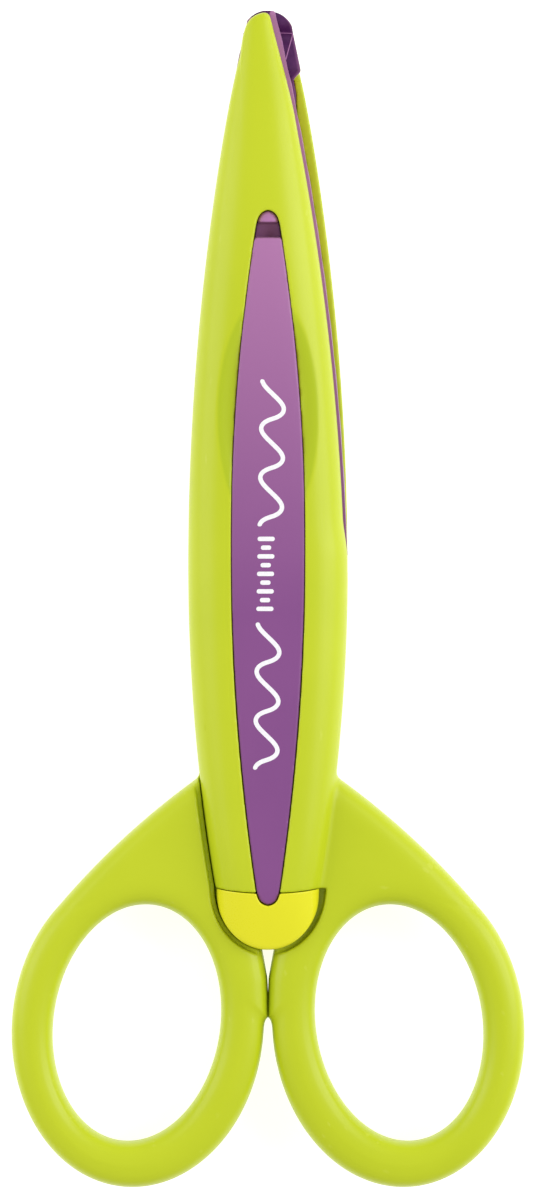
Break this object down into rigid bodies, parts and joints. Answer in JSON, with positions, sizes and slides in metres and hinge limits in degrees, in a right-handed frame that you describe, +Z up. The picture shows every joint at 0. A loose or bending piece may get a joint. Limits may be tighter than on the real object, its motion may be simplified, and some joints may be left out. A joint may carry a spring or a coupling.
{
  "type": "decorative edge scissors",
  "caption": "Craft scissors with a wavy cutting edge, boat-shaped arms, pattern spines that clip in, sprung release buttons and oval finger bows.",
  "frame": {"origin": "on the surface that the closed scissors lie on, under the middle of their length and width", "axes": "+Y towards the tip, +Z up through the front half, +X towards the front half's cutting edge and finger bow"},
  "size_m": [0.0698, 0.16, 0.0148],
  "materials": {
    "lime_plastic": "satin-gloss injection moulding",
    "purple_plastic": "satin-gloss injection moulding",
    "yellow_plastic": "glossy injection moulding",
    "pivot_steel": "zinc-plated steel",
    "spring_steel": "bright spring wire",
    "nylon": "natural nylon"
  },
  "bodies": {
    "rear_half": {"rear_handle": "lime_plastic", "rear_blade": "purple_plastic", "rear_button_spring": "spring_steel", "pivot_screw": "pivot_steel", "pivot_nut": "pivot_steel", "pivot_head_washer": "pivot_steel", "pivot_spring_washer": "spring_steel", "pivot_thrust_washer": "nylon"},
    "front_half": {"front_handle": "lime_plastic", "front_blade": "purple_plastic", "front_button_spring": "spring_steel"},
    "front_spine": {"front_pattern_spine": "purple_plastic"},
    "rear_spine": {"rear_pattern_spine": "purple_plastic"},
    "front_button": {"front_release_button": "yellow_plastic", "front_button_screw": "pivot_steel"},
    "rear_button": {"rear_release_button": "yellow_plastic", "rear_button_screw": "pivot_steel"}
  },
  "joints": [
    {"name": "blades_pivot", "type": "hinge", "parent": "rear_half", "child": "front_half", "pos_m": [0, -0.00556, 0.0074], "axis": [0, 0, 1], "range_deg": [0, 42]},
    {"name": "front_button_press", "type": "slide", "parent": "front_half", "child": "front_button", "axis": [0, 0, -1], "range_m": [0, 0.0007], "stiffness_N_per_m": 300, "springref_m": -0.001, "deforming": ["front_button_spring"]},
    {"name": "rear_button_press", "type": "slide", "parent": "rear_half", "child": "rear_button", "axis": [0, 0, 1], "range_m": [0, 0.0007], "stiffness_N_per_m": 300, "springref_m": -0.001, "deforming": ["rear_button_spring"]},
    {"name": "front_spine_lift", "type": "slide", "parent": "front_half", "child": "front_spine", "axis": [0, 0, 1], "range_m": [0, 0.014]},
    {"name": "rear_spine_lift", "type": "slide", "parent": "rear_half", "child": "rear_spine", "axis": [0, 0, -1], "range_m": [0, 0.014]}
  ]
}
